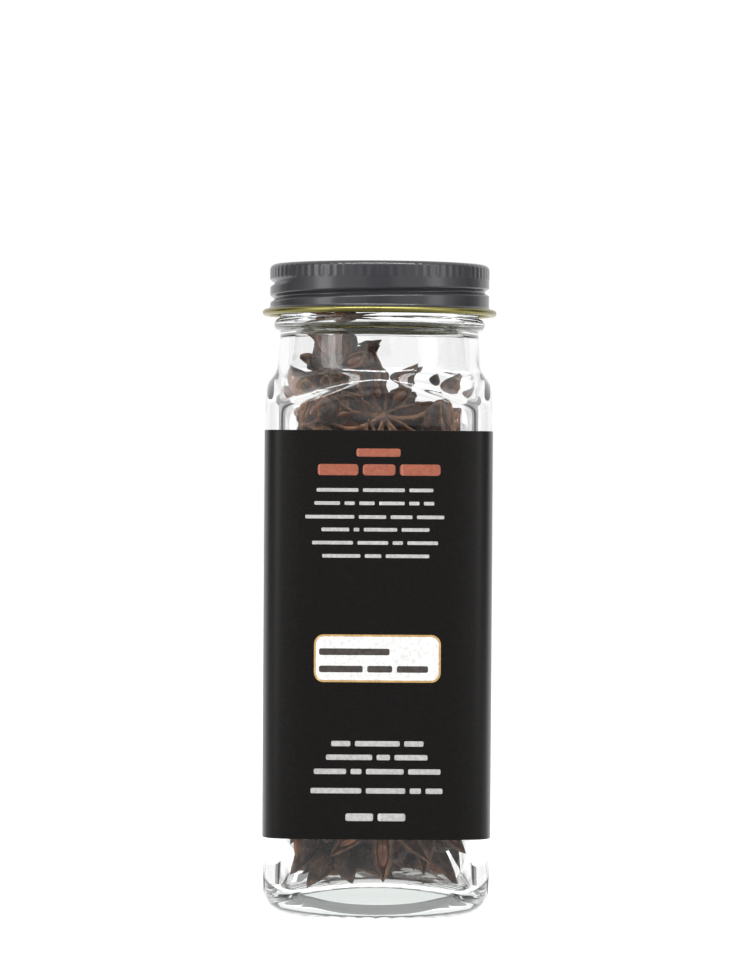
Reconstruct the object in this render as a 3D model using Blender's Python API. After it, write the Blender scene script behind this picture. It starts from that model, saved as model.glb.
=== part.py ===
"""Square glass spice jar of whole star anise: the blown jar, its heap of pods, a wrap-round label
and a threaded tinplate cap with a knurled band and a rolled lower edge.

Metres, +Z up. The origin is the middle of the base, on the surface that the jar stands on.
Every closed surface here is a stack of rings that share one set of polar angles, so a sub-part is
described by what its radius does with angle and height.
"""

import math

import bmesh
import bpy

MM = 0.001

# Jar, outside
BODY_HALF = 22.6 * MM  # half the width across the flats
SQUARENESS = 8.0  # exponent of the superellipse that the body is in plan
HEEL_BLEND = 18.0  # how firmly the square body meets its round heel, and then its shoulder
SHOULDER_BLEND = 30.0
HEEL = 5.2 * MM  # radius where the sides turn under
HEEL_SWEEP = 12.0 * MM  # radius of the rounder heel under the four corners
BEARING_OUT = 17.2 * MM  # the ring that the jar stands on
BEARING_IN = 14.2 * MM
PUSH_UP = 1.8 * MM  # how far the underside is domed up inside that ring
NECK_R = 20.0 * MM
SHOULDER_START = 99.0 * MM  # the sides are straight up to here
SHOULDER_TOP = 114.0 * MM
SHOULDER_MEETS = 108.3 * MM  # where the shoulder's cone would meet the neck
SHOULDER_SLOPE = 1.62  # of its radius to its drop
SHOULDER_ROUND = 1.6 * MM  # how widely the two are blended
BEAD_Z = 118.5 * MM  # the bead that stands out under the cap
BEAD_R = 1.25 * MM
RIM_Z = 129.65 * MM
RIM_ROUND = 0.8 * MM

# Jar, inside
WALL = 2.5 * MM
INNER_SQUARENESS = 6.5
FLOOR_MIDDLE = 8.6 * MM
FLOOR_FALL = 4.2 * MM  # how much lower the domed floor is at FLOOR_REACH from its middle
FLOOR_REACH = 25.0 * MM
INNER_HEEL = 2.4 * MM  # radius where the cavity's walls meet its floor
INNER_HEEL_END = 13.0 * MM  # the cavity is straight above this height
BORE_R = 17.4 * MM
INNER_SHOULDER_START = 98.0 * MM
INNER_SHOULDER_TOP = 113.0 * MM
INNER_SHOULDER_MEETS = 106.6 * MM
INNER_SHOULDER_ROUND = 3.0 * MM

# Screw thread, a ridge on the glass and a rolled groove in the cap
PITCH = 3.18 * MM
THREAD_Z = 122.0 * MM  # height of the cap's groove at angle 0 of turn 0
THREAD_HEIGHT = 1.1 * MM
THREAD_LOW = 120.9 * MM
THREAD_HIGH = 128.5 * MM
GROOVE_DEPTH = 0.85 * MM
GROOVE_TURNS = (0.40, 1.62)
RIDGE_TURNS = (0.05, 1.45)
FADE_TURNS = 0.10

# Cap
CAP_R = 22.1 * MM
SHEET = 0.3 * MM
CAP_TOP = 130.6 * MM
PANEL_DROP = 0.3 * MM  # the middle of the cap's top lies this much lower
PANEL_R = 18.2 * MM
CAP_CORNER = 1.1 * MM
KNURLS = 80
KNURL_DEPTH = 0.14 * MM
KNURL_PROUD = 0.05 * MM
KNURL_FADE = 0.3 * MM  # height in which the knurls run out above and below
KNURL_TOP = 129.6 * MM
KNURL_BOTTOM = 128.1 * MM
SKIRT_BOTTOM = 122.0 * MM
CURL_R = 0.65 * MM  # section radius of the rolled lower edge
CURL_RING_R = 22.95 * MM
CURL_Z = 120.9 * MM

# Label
LABEL_BOTTOM = 16.3 * MM
LABEL_TOP = 97.0 * MM
LABEL_GAP = 0.1 * MM
LABEL_THICKNESS = 0.15 * MM

# Heap of pods
HEAP_GAP = 0.5 * MM
HEAP_LEVEL = 102.0 * MM
HEAP_SHOULDER = 97.0 * MM  # the heap fills the square section up to here
HEAP_NECK = 99.5 * MM
LUMP_HEIGHT = 1.6 * MM
LUMP_SPREAD = (3.1 * MM, 3.7 * MM)
LUMP_SHIFT = (0.6, -0.4)
MOUND_HEIGHT = 11.0 * MM
MOUND_AT = (-7.0 * MM, 2.0 * MM)
MOUND_SPREAD = 6.5 * MM

CORNER_STEPS = 5  # facets round each corner of the body
SIDE_STEPS = 7  # facets across each side
CORNER_SECTOR = math.radians(9.0)  # half the polar angle that a corner takes up


def jar_angles():
    """Polar angles of the jar's facets, close together round the corners."""
    found = []
    for quarter in range(4):
        corner = math.radians(45 + 90 * quarter)
        for i in range(CORNER_STEPS):
            found.append(corner - CORNER_SECTOR + 2 * CORNER_SECTOR * i / CORNER_STEPS)
        side = math.radians(90) - 2 * CORNER_SECTOR
        for i in range(SIDE_STEPS):
            found.append(corner + CORNER_SECTOR + side * i / SIDE_STEPS)
    return found


def cap_angles():
    return [2 * math.pi * i / KNURLS for i in range(KNURLS)]


def square(angle, half, squareness):
    """Radius at an angle of a square with soft corners, a superellipse."""
    across = abs(math.cos(angle)) ** squareness + abs(math.sin(angle)) ** squareness
    return half / across ** (1 / squareness)


def lesser(a, b, firmness):
    """The smaller of two radii, blended where they are close."""
    return (a**-firmness + b**-firmness) ** (-1 / firmness)


def arc_inset(height, radius):
    """How far an arc that starts level at height 0 still lies inside the wall that it turns into."""
    if height >= radius:
        return 0.0
    return radius - math.sqrt(radius**2 - (radius - height) ** 2)


def shoulder(z, neck, meets, rounding):
    """Radius of the turned shoulder, a cone that sweeps into the neck."""
    drop = meets - z
    return neck + SHOULDER_SLOPE * (drop + math.sqrt(drop**2 + rounding**2)) / 2


def outside(angle, z):
    """Radius of the jar's outer wall below its bead."""
    body = square(angle, BODY_HALF - arc_inset(z, HEEL), SQUARENESS)
    heel = BEARING_OUT + math.sqrt(2 * HEEL_SWEEP * z)
    sides = lesser(body, heel, HEEL_BLEND)
    return lesser(sides, shoulder(z, NECK_R, SHOULDER_MEETS, SHOULDER_ROUND), SHOULDER_BLEND)


def inside(angle, z):
    """Radius of the jar's cavity above its heel."""
    body = square(angle, BODY_HALF - WALL, INNER_SQUARENESS)
    top = shoulder(z, BORE_R, INNER_SHOULDER_MEETS, INNER_SHOULDER_ROUND)
    return lesser(body, top, SHOULDER_BLEND)


def inner_heel(angle, above):
    """Radius of the cavity's heel, at a height above the edge of the floor."""
    return square(angle, BODY_HALF - WALL - arc_inset(above, INNER_HEEL), INNER_SQUARENESS)


def floor_height(r):
    """Height of the cavity's domed floor, at a distance from its middle."""
    return FLOOR_MIDDLE - FLOOR_FALL * (r / FLOOR_REACH) ** 2


def floor_edge(angle):
    """Height of the edge of the floor, which is lowest in the corners."""
    return floor_height(inner_heel(angle, 0.0))


def helix(angle, z, turns, shift):
    """1 on the middle of a right-handed thread and 0 half way to the next turn, faded at its ends."""
    phase = (z - THREAD_Z) / PITCH - angle / (2 * math.pi) + shift
    turn = round(phase) + angle / (2 * math.pi)
    start, end = turns
    fade = min(max((turn - start) / FADE_TURNS, 0), 1) * min(max((end - turn) / FADE_TURNS, 0), 1)
    return fade * max(math.cos(2 * math.pi * (phase - round(phase))), 0) ** 1.4


def ring(angles, z, radius):
    """One ring of points. z and radius are numbers, or functions of the angle."""
    points = []
    for angle in angles:
        r = radius(angle) if callable(radius) else radius
        height = z(angle) if callable(z) else z
        points.append((r * math.cos(angle), r * math.sin(angle), height))
    return points


def arc(middle_r, middle_z, radius, first, last, steps):
    """(radius, height) points on an arc in section, its angles in degrees from outwards to upwards."""
    points = []
    for i in range(steps + 1):
        turn = math.radians(first + (last - first) * i / steps)
        points.append((middle_r + radius * math.cos(turn), middle_z + radius * math.sin(turn)))
    return points


def join_rings(bm, lower, upper):
    """Faces between two rings. One may have twice the points of the other."""
    if len(lower) == len(upper):
        for i in range(len(lower)):
            k = (i + 1) % len(lower)
            bm.faces.new((lower[i], lower[k], upper[k], upper[i]))
        return
    fine, coarse = (lower, upper) if len(lower) > len(upper) else (upper, lower)
    for i in range(len(coarse)):
        k = (i + 1) % len(coarse)
        face = (fine[2 * i], fine[2 * i + 1], fine[2 * k], coarse[k], coarse[i])
        bm.faces.new(face if fine is lower else tuple(reversed(face)))


def cap_end(bm, points, height, flip):
    """A fan of triangles from a ring to a point on the axis."""
    pole = bm.verts.new((0, 0, height))
    for i in range(len(points)):
        k = (i + 1) % len(points)
        face = (pole, points[k], points[i])
        bm.faces.new(tuple(reversed(face)) if flip else face)


def solid(name, rings, poles, colour, roughness, metallic=0.0, transmission=0.0):
    """An object skinned over rings that run up its outside, and closed at its poles or on itself."""
    bm = bmesh.new()
    loops = [[bm.verts.new(p) for p in points] for points in rings]
    for lower, upper in zip(loops, loops[1:]):
        join_rings(bm, lower, upper)
    if poles is None:
        join_rings(bm, loops[-1], loops[0])
    else:
        cap_end(bm, loops[0], poles[0], False)
        cap_end(bm, loops[-1], poles[1], True)
    bmesh.ops.recalc_face_normals(bm, faces=bm.faces)
    mesh = bpy.data.meshes.new(name)
    bm.to_mesh(mesh)
    bm.free()
    mesh.shade_smooth()
    mesh.set_sharp_from_angle(angle=math.radians(35))
    mesh.materials.append(finish(name, colour, roughness, metallic, transmission))
    made = bpy.data.objects.new(name, mesh)
    bpy.context.scene.collection.objects.link(made)
    return made


def finish(name, colour, roughness, metallic, transmission):
    material = bpy.data.materials.new(name)
    material.use_nodes = True
    shader = material.node_tree.nodes["Principled BSDF"]
    shader.inputs["Base Color"].default_value = (*colour, 1)
    shader.inputs["Roughness"].default_value = roughness
    shader.inputs["Metallic"].default_value = metallic
    shader.inputs["Transmission Weight"].default_value = transmission
    return material


def floor_ring(angles, share, above):
    """A ring over the cavity's floor, at a share of the way from its middle to its edge."""
    return ring(
        angles,
        lambda a: floor_height(share * inner_heel(a, 0.0)) + above,
        lambda a: share * inner_heel(a, 0.0),
    )


def jar():
    """The glass: underside, heel, sides, shoulder, bead, threaded finish, rim, then down the inside."""
    angles = jar_angles()
    half_way = 0.5
    rings = [
        ring(angles, PUSH_UP * (1 - half_way**2), half_way * BEARING_IN),
        ring(angles, 0.0, BEARING_IN),
        ring(angles, 0.0, lambda a: outside(a, 0.0)),
    ]
    heel_steps = 4
    for i in range(1, heel_steps):
        z = HEEL * (1 - math.cos(math.pi / 2 * i / heel_steps))
        rings.append(ring(angles, z, lambda a, z=z: outside(a, z)))
    shoulder_steps = 6
    heights = [HEEL, 10.0 * MM, LABEL_BOTTOM, LABEL_TOP]
    for i in range(shoulder_steps + 1):
        heights.append(SHOULDER_START + (SHOULDER_TOP - SHOULDER_START) * i / shoulder_steps)
    for z in heights:
        rings.append(ring(angles, z, lambda a, z=z: outside(a, z)))
    for r, z in arc(NECK_R, BEAD_Z, BEAD_R, -85, 85, 4):
        rings.append(ring(angles, z, r))
    thread_steps = 8
    for i in range(thread_steps + 1):
        z = THREAD_LOW + (THREAD_HIGH - THREAD_LOW) * i / thread_steps
        rings.append(
            ring(angles, z, lambda a, z=z: NECK_R + THREAD_HEIGHT * helix(a, z, RIDGE_TURNS, 0.5))
        )
    for r, z in arc(NECK_R - RIM_ROUND, RIM_Z - RIM_ROUND, RIM_ROUND, 0, 90, 2):
        rings.append(ring(angles, z, r))
    for r, z in arc(BORE_R + RIM_ROUND, RIM_Z - RIM_ROUND, RIM_ROUND, 90, 180, 2):
        rings.append(ring(angles, z, r))
    inner_steps = 6
    for i in range(inner_steps + 1):
        z = INNER_SHOULDER_TOP + (INNER_SHOULDER_START - INNER_SHOULDER_TOP) * i / inner_steps
        rings.append(ring(angles, z, lambda a, z=z: inside(a, z)))
    inner_heel_steps = 4
    rings.append(ring(angles, INNER_HEEL_END, lambda a: inside(a, INNER_HEEL_END)))
    for i in range(inner_heel_steps, -1, -1):
        h = INNER_HEEL * (1 - math.cos(math.pi / 2 * i / inner_heel_steps))
        rings.append(ring(angles, lambda a, h=h: floor_edge(a) + h, lambda a, h=h: inner_heel(a, h)))
    rings.append(floor_ring(angles, half_way, 0.0))
    return solid("jar", rings, (PUSH_UP, FLOOR_MIDDLE), (0.92, 0.96, 0.93), 0.03, 0.0, 1.0)


def heap_top(x, y):
    """Height of the uneven top of the heap of pods."""
    mound = math.exp(-((x - MOUND_AT[0]) ** 2 + (y - MOUND_AT[1]) ** 2) / (2 * MOUND_SPREAD**2))
    lumps = math.sin(x / LUMP_SPREAD[0] + LUMP_SHIFT[0]) * math.cos(y / LUMP_SPREAD[1] + LUMP_SHIFT[1])
    return HEAP_LEVEL + MOUND_HEIGHT * mound + LUMP_HEIGHT * lumps


def heap():
    """The star anise as one solid: it fills the cavity up to an uneven top."""
    angles = jar_angles()

    def rim_height(angle):
        z = HEAP_LEVEL
        for _ in range(4):
            r = inside(angle, z) - HEAP_GAP
            z = heap_top(r * math.cos(angle), r * math.sin(angle))
        return z

    rims = {angle: rim_height(angle) for angle in angles}
    rings = [floor_ring(angles, 0.5, HEAP_GAP)]
    for h in (0.0, 0.35 * INNER_HEEL, INNER_HEEL):
        lift = max(h, HEAP_GAP)
        rings.append(
            ring(
                angles,
                lambda a, lift=lift: floor_edge(a) + lift,
                lambda a, h=h: inner_heel(a, h) - HEAP_GAP,
            )
        )
    for z in (INNER_HEEL_END, HEAP_SHOULDER, HEAP_NECK):
        rings.append(ring(angles, z, lambda a, z=z: inside(a, z) - HEAP_GAP))
    rings.append(ring(angles, lambda a: rims[a], lambda a: inside(a, rims[a]) - HEAP_GAP))
    for share in (0.8, 0.6, 0.4, 0.2):
        def reach(a, share=share):
            return share * (inside(a, rims[a]) - HEAP_GAP)

        def height(a):
            return heap_top(reach(a) * math.cos(a), reach(a) * math.sin(a))

        rings.append(ring(angles, height, reach))
    poles = (FLOOR_MIDDLE + HEAP_GAP, heap_top(0, 0))
    return solid("star_anise", rings, poles, (0.13, 0.06, 0.03), 0.8)


def label():
    """The printed sleeve, a thin band that follows the body."""
    angles = jar_angles()
    inner = LABEL_GAP
    outer = LABEL_GAP + LABEL_THICKNESS
    corners = ((inner, LABEL_BOTTOM), (outer, LABEL_BOTTOM), (outer, LABEL_TOP), (inner, LABEL_TOP))
    rings = [ring(angles, z, lambda a, z=z, out=out: outside(a, z) + out) for out, z in corners]
    return solid("label", rings, None, (0.012, 0.011, 0.010), 0.55)


def skirt_radius(angle, z):
    return CAP_R - GROOVE_DEPTH * helix(angle, z, GROOVE_TURNS, 0.0)


def cap():
    """The tinplate cap, outside from its top down to the rolled edge, then up the inside."""
    angles = cap_angles()
    fine = [2 * math.pi * i / (2 * KNURLS) for i in range(2 * KNURLS)]
    step_r = PANEL_R + PANEL_DROP
    rings = [ring(angles, CAP_TOP - PANEL_DROP, PANEL_R), ring(angles, CAP_TOP, step_r)]
    for r, z in arc(CAP_R - CAP_CORNER, CAP_TOP - CAP_CORNER, CAP_CORNER, 90, 20, 2):
        rings.append(ring(angles, z, r))

    def fluted(a):
        valley = round(a / (math.pi / KNURLS)) % 2
        return CAP_R + KNURL_PROUD - KNURL_DEPTH * valley

    rings += [ring(fine, KNURL_TOP - KNURL_FADE, fluted), ring(fine, KNURL_BOTTOM, fluted)]
    skirt_steps = 7
    skirt_high = KNURL_BOTTOM - KNURL_FADE
    heights = [skirt_high + (SKIRT_BOTTOM - skirt_high) * i / skirt_steps for i in range(skirt_steps + 1)]
    for z in heights:
        rings.append(ring(angles, z, lambda a, z=z: skirt_radius(a, z)))
    for r, z in arc(CURL_RING_R, CURL_Z, CURL_R, 80, -170, 5):
        rings.append(ring(angles, z, r))
    for z in reversed(heights):
        rings.append(ring(angles, z, lambda a, z=z: skirt_radius(a, z) - SHEET))
    rings.append(ring(angles, KNURL_TOP, CAP_R - KNURL_DEPTH - SHEET))
    rings.append(ring(angles, CAP_TOP - SHEET, CAP_R - CAP_CORNER - SHEET))
    rings.append(ring(angles, CAP_TOP - PANEL_DROP - SHEET, PANEL_R))
    poles = (CAP_TOP - PANEL_DROP, CAP_TOP - PANEL_DROP - SHEET)
    return solid("cap", rings, poles, (0.035, 0.036, 0.040), 0.35, 0.2)


def main():
    for o in list(bpy.data.objects):
        bpy.data.objects.remove(o)
    jar()
    heap()
    label()
    cap()


main()
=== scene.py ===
"""Looks for a square glass spice jar of whole star anise.

The jar, its cap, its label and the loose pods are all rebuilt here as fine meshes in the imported
model's frame: metres, +Z up, the printed panel towards -Y. The forms of the jar and the cap follow
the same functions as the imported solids, with shallower knurls, and with the waves of blown glass and
the bars of the jar's foot added. The pods lie inside the jar's cavity.
"""

import math
import random

import bpy
import numpy as np
from mathutils import Matrix, Vector, noise


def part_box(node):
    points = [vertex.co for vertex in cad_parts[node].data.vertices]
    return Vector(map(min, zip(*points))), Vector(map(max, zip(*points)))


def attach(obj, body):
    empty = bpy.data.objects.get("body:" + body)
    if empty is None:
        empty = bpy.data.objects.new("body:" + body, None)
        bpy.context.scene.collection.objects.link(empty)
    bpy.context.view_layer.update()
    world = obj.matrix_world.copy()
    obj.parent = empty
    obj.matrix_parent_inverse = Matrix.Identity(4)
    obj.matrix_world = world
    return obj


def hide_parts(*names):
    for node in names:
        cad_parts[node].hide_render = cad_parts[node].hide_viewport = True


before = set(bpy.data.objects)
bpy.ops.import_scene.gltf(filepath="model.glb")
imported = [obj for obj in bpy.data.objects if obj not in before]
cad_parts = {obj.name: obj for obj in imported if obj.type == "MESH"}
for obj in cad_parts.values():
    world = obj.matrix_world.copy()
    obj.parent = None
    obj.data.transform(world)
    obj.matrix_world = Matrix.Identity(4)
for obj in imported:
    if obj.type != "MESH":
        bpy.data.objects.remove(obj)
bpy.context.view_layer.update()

MM = 0.001
_, jar_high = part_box("jar")
_, cap_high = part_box("cap")
label_low, label_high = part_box("label")

# Jar, outside
BODY_HALF = jar_high.x
SQUARENESS = 8.0  # exponent of the superellipse that the body is in plan
HEEL_BLEND = 18.0  # how firmly the square body meets its round heel, and then its shoulder
SHOULDER_BLEND = 30.0
HEEL = 5.2 * MM
HEEL_SWEEP = 12.0 * MM
BEARING_OUT = 17.2 * MM
BEARING_IN = 14.2 * MM
PUSH_UP = 1.8 * MM
NECK_R = 20.0 * MM
SHOULDER_START = 99.0 * MM
SHOULDER_TOP = 114.0 * MM
SHOULDER_MEETS = 108.3 * MM  # where the shoulder's cone would meet the neck
SHOULDER_SLOPE = 1.62  # of its radius to its drop
SHOULDER_ROUND = 1.6 * MM  # how widely the two are blended
BEAD_Z = 118.5 * MM
BEAD_R = 1.25 * MM
RIM_Z = jar_high.z
RIM_ROUND = 0.8 * MM
STIPPLES = 36  # moulded bars round the ring that the jar stands on
STIPPLE_DEPTH = 0.6 * MM
STIPPLE_FADE = 1.0 * MM  # height over which the bars run out into the heel
FOOT_ROUND = 0.25 * MM  # how far the inner edge of that ring is rounded off
FOOT_STEP = 0.4 * MM

# Jar, inside
WALL = 2.5 * MM
INNER_SQUARENESS = 6.5
FLOOR_MIDDLE = 8.6 * MM
FLOOR_FALL = 4.2 * MM  # how much lower the domed floor is at FLOOR_REACH from its middle
FLOOR_REACH = 25.0 * MM
INNER_HEEL = 2.4 * MM
BORE_R = 17.4 * MM
BORE_TOP = 125.0 * MM  # above it the bore has no waves
INNER_SHOULDER_START = 97.0 * MM
INNER_SHOULDER_MEETS = 106.6 * MM
INNER_SHOULDER_ROUND = 3.0 * MM
WAVE = 0.10 * MM  # unevenness of the blown inner surface
WAVE_LENGTH = 9.0 * MM
WAVE_GROWS = 100.0 * MM  # from here it doubles towards the neck
WAVE_GROWTH = 8.0 * MM

# Screw thread
PITCH = 3.18 * MM
THREAD_Z = 122.0 * MM
THREAD_HEIGHT = 1.1 * MM
THREAD_LOW = 120.9 * MM
THREAD_HIGH = 128.5 * MM
GROOVE_DEPTH = 0.85 * MM
GROOVE_TURNS = (0.40, 1.62)
RIDGE_TURNS = (0.05, 1.45)
FADE_TURNS = 0.10
CREST = 1.4  # how narrow the thread's crest is

# Cap
CAP_R = 22.1 * MM
SHEET = 0.3 * MM
CAP_TOP = cap_high.z
PANEL_DROP = 0.3 * MM
PANEL_R = 18.2 * MM
CAP_CORNER = 1.1 * MM
KNURLS = 80
KNURL_STEPS = 6  # points round the cap for each knurl
KNURL_DEPTH = 0.08 * MM
KNURL_END = 0.45 * MM  # height over which they run out into the skirt
KNURL_PROUD = 0.05 * MM
KNURL_BOTTOM = 127.9 * MM
SKIRT_BOTTOM = 122.0 * MM
CURL_R = 0.65 * MM
CURL_RING_R = 22.95 * MM
CURL_Z = 120.9 * MM

# Label
LABEL_BOTTOM = label_low.z
LABEL_TOP = label_high.z
LABEL_OUT = 0.20 * MM  # from the glass to the label's face
PAPER = 0.09 * MM
SEAM = math.radians(90)
SEAM_OVERLAP = math.radians(14)
LAP_RISE = 0.06  # angle over which the upper end climbs onto the lower one
LAP_LIFT = 1.15 * PAPER
INK = 0.02 * MM  # how far the print stands off the label
EDGE = 0.05 * MM  # the narrow row that keeps the label's face flat up to its edge

# Pods
PODS_SEED = 11
POD_REACH = 13.8 * MM  # from a pod's middle to the tip of a full carpel
POD_HEIGHT = 6.8 * MM
POD_WIDTH = 5.0 * MM
SHELL = 0.55 * MM
NECK_PODS = (  # middle in mm, the way the split side faces, spin in degrees
    ((-8.5, -2.5, 109.5), (-0.75, -0.62, 0.15), 10.0),
    ((-8.5, 5.0, 108.0), (0.6, -0.75, 0.2), 30.0),
)


# ---------------------------------------------------------------- forms of the jar and the cap


def square(angle, half, squareness):
    """Radius at an angle of a square with soft corners, a superellipse."""
    across = np.abs(np.cos(angle)) ** squareness + np.abs(np.sin(angle)) ** squareness
    return half / across ** (1 / squareness)


def lesser(a, b, firmness):
    """The smaller of two radii, blended where they are close."""
    return (a**-firmness + b**-firmness) ** (-1 / firmness)


def arc_inset(height, radius):
    """How far an arc that starts level at height 0 still lies inside the wall that it turns into."""
    left = np.clip(radius - height, 0, radius)
    return radius - np.sqrt(radius**2 - left**2)


def shoulder(z, neck, meets, rounding):
    """Radius of the turned shoulder, a cone that sweeps into the neck."""
    drop = meets - z
    return neck + SHOULDER_SLOPE * (drop + np.sqrt(drop**2 + rounding**2)) / 2


def outside(angle, z):
    """Radius of the jar's outer wall below its bead."""
    body = square(angle, BODY_HALF - arc_inset(z, HEEL), SQUARENESS)
    heel = BEARING_OUT + np.sqrt(2 * HEEL_SWEEP * z)
    sides = lesser(body, heel, HEEL_BLEND)
    return lesser(sides, shoulder(z, NECK_R, SHOULDER_MEETS, SHOULDER_ROUND), SHOULDER_BLEND)


def inside(angle, z):
    """Radius of the jar's cavity above its heel."""
    body = square(angle, BODY_HALF - WALL, INNER_SQUARENESS)
    top = shoulder(z, BORE_R, INNER_SHOULDER_MEETS, INNER_SHOULDER_ROUND)
    return lesser(body, top, SHOULDER_BLEND)


def inner_heel(angle, above):
    """Radius of the cavity's heel, at a height above the edge of the floor."""
    return square(angle, BODY_HALF - WALL - arc_inset(above, INNER_HEEL), INNER_SQUARENESS)


def floor_height(r):
    """Height of the cavity's domed floor, at a distance from its middle."""
    return FLOOR_MIDDLE - FLOOR_FALL * (r / FLOOR_REACH) ** 2


def helix(angle, z, turns, shift):
    """1 on the middle of a right-handed thread and 0 half way to the next turn, faded at its ends."""
    phase = (z - THREAD_Z) / PITCH - angle / (2 * math.pi) + shift
    turn = np.round(phase) + angle / (2 * math.pi)
    start, end = turns
    fade = np.clip((turn - start) / FADE_TURNS, 0, 1) * np.clip((end - turn) / FADE_TURNS, 0, 1)
    return fade * np.maximum(np.cos(2 * math.pi * (phase - np.round(phase))), 0) ** CREST


def ring(angles, z, radius):
    """One ring of points, as an array. z and radius are numbers or one number for each angle."""
    flat = np.ones_like(angles)
    return np.stack([radius * np.cos(angles), radius * np.sin(angles), z * flat], axis=1)


def arc(middle_r, middle_z, radius, first, last, steps):
    """(radius, height) points on an arc in section, its angles in degrees from outwards to upwards."""
    turns = np.radians(np.linspace(first, last, steps + 1))
    return [(middle_r + radius * math.cos(t), middle_z + radius * math.sin(t)) for t in turns]


def piece(name, points, faces, materials, slot, face_material=None):
    """A smooth mesh object that rides with the part."""
    mesh = bpy.data.meshes.new(name)
    mesh.from_pydata([tuple(p) for p in points], [], faces)
    mesh.shade_smooth()
    for material in materials:
        mesh.materials.append(material)
    if face_material is not None:
        mesh.polygons.foreach_set("material_index", face_material)
    mesh.update()
    made = bpy.data.objects.new(name, mesh)
    bpy.context.scene.collection.objects.link(made)
    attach(made, "root")
    return made


def skin(rings, poles=None):
    """Points and faces over rings that run up the outside, closed by a point at each end or on itself."""
    count, rows = len(rings[0]), len(rings)
    points = list(np.concatenate(rings))
    faces = []
    for row in range(rows - 1 if poles else rows):
        a, b = row * count, (row + 1) % rows * count
        for i in range(count):
            k = (i + 1) % count
            faces.append((a + i, a + k, b + k, b + i))
    if poles:
        first, last = len(points), len(points) + 1
        points += [np.array((0, 0, poles[0])), np.array((0, 0, poles[1]))]
        top = (rows - 1) * count
        for i in range(count):
            k = (i + 1) % count
            faces.append((first, k, i))
            faces.append((last, top + i, top + k))
    return points, faces


# ---------------------------------------------------------------- materials


def new_material(name):
    material = bpy.data.materials.new(name)
    material.use_nodes = True
    nodes, links = material.node_tree.nodes, material.node_tree.links
    return material, nodes, links, nodes["Principled BSDF"]


def srgb(r, g, b):
    """A linear colour from sRGB values out of 255."""
    return tuple(((c / 255 + 0.055) / 1.055) ** 2.4 if c > 10 else c / 255 / 12.92 for c in (r, g, b))


def add_noise(nodes, links, scale, detail, roughness=0.5, coordinates="Object", stretch=None):
    texture = nodes.new("ShaderNodeTexNoise")
    texture.inputs["Scale"].default_value = scale
    texture.inputs["Detail"].default_value = detail
    texture.inputs["Roughness"].default_value = roughness
    place = nodes.new("ShaderNodeTexCoord")
    if stretch is None:
        links.new(place.outputs[coordinates], texture.inputs["Vector"])
    else:
        mapping = nodes.new("ShaderNodeMapping")
        mapping.inputs["Scale"].default_value = stretch
        links.new(place.outputs[coordinates], mapping.inputs["Vector"])
        links.new(mapping.outputs["Vector"], texture.inputs["Vector"])
    return texture


def add_ramp(nodes, links, source, stops):
    """A colour ramp over a value: stops are (place, colour)."""
    ramp = nodes.new("ShaderNodeValToRGB")
    links.new(source, ramp.inputs["Fac"])
    points = ramp.color_ramp.elements
    while len(points) < len(stops):
        points.new(0.5)
    for point, (place, colour) in zip(points, stops):
        point.position = place
        point.color = (*colour, 1) if hasattr(colour, "__len__") else (colour, colour, colour, 1)
    return ramp


def add_bump(nodes, links, height, distance, strength, shader):
    bump = nodes.new("ShaderNodeBump")
    bump.inputs["Distance"].default_value = distance
    bump.inputs["Strength"].default_value = strength
    links.new(height, bump.inputs["Height"])
    links.new(bump.outputs["Normal"], shader.inputs["Normal"])
    return bump


def glass_material():
    """Clear glass that lamps shine through, with a little green-grey in its thickness."""
    material, nodes, links, shader = new_material("clear_glass")
    shader.inputs["Base Color"].default_value = (1, 1, 1, 1)
    shader.inputs["Roughness"].default_value = 0.0
    shader.inputs["IOR"].default_value = 1.5
    shader.inputs["Transmission Weight"].default_value = 1.0
    clear = nodes.new("ShaderNodeBsdfTransparent")
    clear.inputs["Color"].default_value = (0.94, 0.95, 0.945, 1)
    path = nodes.new("ShaderNodeLightPath")
    lamps = nodes.new("ShaderNodeMath")
    lamps.operation = "MAXIMUM"
    links.new(path.outputs["Is Shadow Ray"], lamps.inputs[0])
    links.new(path.outputs["Is Diffuse Ray"], lamps.inputs[1])
    mix = nodes.new("ShaderNodeMixShader")
    links.new(lamps.outputs[0], mix.inputs["Fac"])
    links.new(shader.outputs[0], mix.inputs[1])
    links.new(clear.outputs[0], mix.inputs[2])
    links.new(mix.outputs[0], nodes["Material Output"].inputs["Surface"])
    tint = nodes.new("ShaderNodeVolumeAbsorption")
    tint.inputs["Color"].default_value = (0.66, 0.74, 0.70, 1)
    tint.inputs["Density"].default_value = 14.0
    links.new(tint.outputs[0], nodes["Material Output"].inputs["Volume"])
    return material


def lacquer_material():
    """Satin black lacquer on tinplate, with a faint orange peel."""
    material, nodes, links, shader = new_material("black_lacquer")
    cloud = add_noise(nodes, links, 90, 3)
    stops = [(0.3, srgb(44, 44, 48)), (0.7, srgb(52, 52, 56))]
    colours = add_ramp(nodes, links, cloud.outputs["Fac"], stops)
    links.new(colours.outputs["Color"], shader.inputs["Base Color"])
    gloss = add_ramp(nodes, links, cloud.outputs["Fac"], [(0.3, 0.18), (0.7, 0.25)])
    links.new(gloss.outputs["Color"], shader.inputs["Roughness"])
    peel = add_noise(nodes, links, 2500, 2)
    add_bump(nodes, links, peel.outputs["Fac"], 0.02 * MM, 0.35, shader)
    return material


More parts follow.
